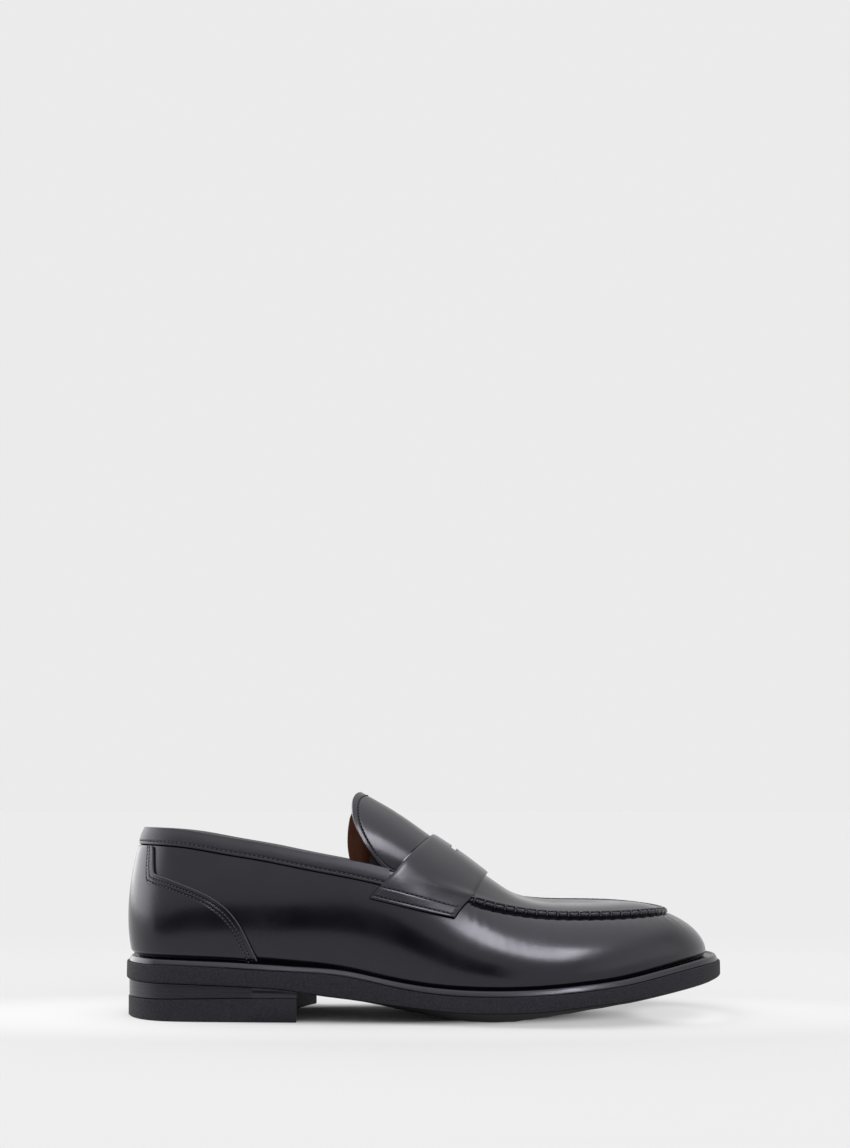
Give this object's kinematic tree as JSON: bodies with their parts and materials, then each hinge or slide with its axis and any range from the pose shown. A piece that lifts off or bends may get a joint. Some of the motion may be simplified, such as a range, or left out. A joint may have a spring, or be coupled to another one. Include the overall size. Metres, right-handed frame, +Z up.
{
  "type": "penny loafer",
  "caption": "Right black leather penny loafer with slotted saddle strap, raised apron, rubber sole and low heel; the tongue lifts.",
  "frame": {"origin": "under the middle of the bounding box, at floor level", "axes": "+X towards the toe, +Y towards the inner (medial) side, +Z up"},
  "size_m": [0.3049, 0.1082, 0.1132],
  "materials": {
    "black_calf": "polished",
    "brown_lining": "smooth",
    "elastic": "ribbed",
    "board": "matte",
    "filler": "matte",
    "steel": "brushed",
    "grained_rubber": "grained matte",
    "smooth_rubber": "semi-gloss",
    "black_thread": "waxed"
  },
  "bodies": {
    "shoe": {"side_wall": "black_calf", "heel_foxing": "black_calf", "collar_binding": "black_calf", "apron": "black_calf", "saddle_strap": "black_calf", "strap_backing": "black_calf", "gore_lateral": "elastic", "gore_medial": "elastic", "quarter_lining": "brown_lining", "vamp_lining": "brown_lining", "apron_lining": "brown_lining", "heel_stiffener": "board", "toe_puff": "board", "insole_board": "board", "sock_liner": "brown_lining", "shank": "steel", "bottom_filler": "filler", "rand": "smooth_rubber", "sole_unit": "grained_rubber", "heel_stack": "smooth_rubber", "top_lift": "grained_rubber", "heel_nails": "steel", "apron_seam_thread": "black_thread", "foxing_stitching": "black_thread", "collar_stitching": "black_thread", "strap_stitching": "black_thread"},
    "tongue": {"tongue_upper": "black_calf", "tongue_lining": "brown_lining", "tongue_stitching": "black_thread"}
  },
  "joints": [
    {"name": "tongue_lift", "type": "hinge", "parent": "shoe", "child": "tongue", "pos_m": [0.0032, 0.003, 0.0897], "axis": [0, 1, 0], "range_deg": [0, 18], "stiffness_Nm_per_rad": 0.12}
  ]
}
